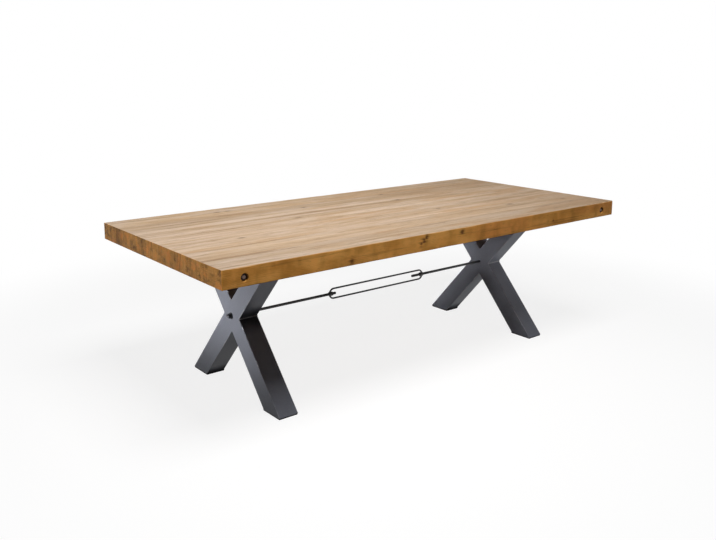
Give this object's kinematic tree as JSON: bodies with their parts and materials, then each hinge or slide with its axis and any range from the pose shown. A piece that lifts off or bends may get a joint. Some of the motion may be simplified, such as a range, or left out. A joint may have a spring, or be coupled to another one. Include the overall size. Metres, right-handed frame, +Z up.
{
  "type": "sawbuck table",
  "caption": "Sawbuck dining table: thick plank timber top on crossed square-tube steel legs, tied together by a tension rod with an open turnbuckle.",
  "frame": {"origin": "middle of the table on the floor", "axes": "+X along the length towards the right leg frame, +Y from the front edge to the back edge, +Z up"},
  "size_m": [2.5, 1.15, 0.77],
  "materials": {
    "top_timber": "matt oiled, sandy brown",
    "leg_steel": "satin anthracite powder coat",
    "tie_steel": "black, semi-matt",
    "fastener_steel": "dull, browned",
    "glide_plastic": "matt black"
  },
  "bodies": {
    "frame": {"tabletop_board_1": "top_timber", "tabletop_board_2": "top_timber", "tabletop_board_3": "top_timber", "tabletop_board_4": "top_timber", "tabletop_board_5": "top_timber", "tabletop_board_6": "top_timber", "tabletop_board_7": "top_timber", "left_clamp_rod": "fastener_steel", "right_clamp_rod": "fastener_steel", "clamp_rod_washers": "fastener_steel", "clamp_rod_nuts": "fastener_steel", "left_long_leg": "leg_steel", "left_upper_arm": "leg_steel", "left_short_leg": "leg_steel", "left_crossing_sleeve": "leg_steel", "left_top_plate": "leg_steel", "right_long_leg": "leg_steel", "right_upper_arm": "leg_steel", "right_short_leg": "leg_steel", "right_crossing_sleeve": "leg_steel", "right_top_plate": "leg_steel", "left_front_foot_cap": "leg_steel", "left_rear_foot_cap": "leg_steel", "right_front_foot_cap": "leg_steel", "right_rear_foot_cap": "leg_steel", "left_front_glide": "glide_plastic", "left_rear_glide": "glide_plastic", "right_front_glide": "glide_plastic", "right_rear_glide": "glide_plastic", "left_plate_screws": "fastener_steel", "left_plate_washers": "fastener_steel", "right_plate_screws": "fastener_steel", "right_plate_washers": "fastener_steel"},
    "turnbuckle": {"turnbuckle_upper_rail": "tie_steel", "turnbuckle_lower_rail": "tie_steel", "turnbuckle_left_boss": "tie_steel", "turnbuckle_right_boss": "tie_steel"},
    "left_tie": {"left_tie_rod": "tie_steel", "left_tie_washer": "tie_steel", "left_tie_nut": "tie_steel"},
    "right_tie": {"right_tie_rod": "tie_steel", "right_tie_washer": "tie_steel", "right_tie_nut": "tie_steel"}
  },
  "joints": [
    {"name": "turnbuckle_turn", "type": "hinge", "parent": "frame", "child": "turnbuckle", "pos_m": [0, 0, 0.375], "axis": [1, 0, 0], "range_deg": [0, 3330]},
    {"name": "left_tie_slide", "type": "slide", "parent": "frame", "child": "left_tie", "axis": [-1, 0, 0], "range_m": [0, 0.01855]},
    {"name": "right_tie_slide", "type": "slide", "parent": "frame", "child": "right_tie", "axis": [1, 0, 0], "range_m": [0, 0.01855]}
  ],
  "couplings": [
    {"joint": "left_tie_slide", "follows": "turnbuckle_turn", "m_per_rad": 0.00031831},
    {"joint": "right_tie_slide", "follows": "turnbuckle_turn", "m_per_rad": 0.00031831}
  ]
}
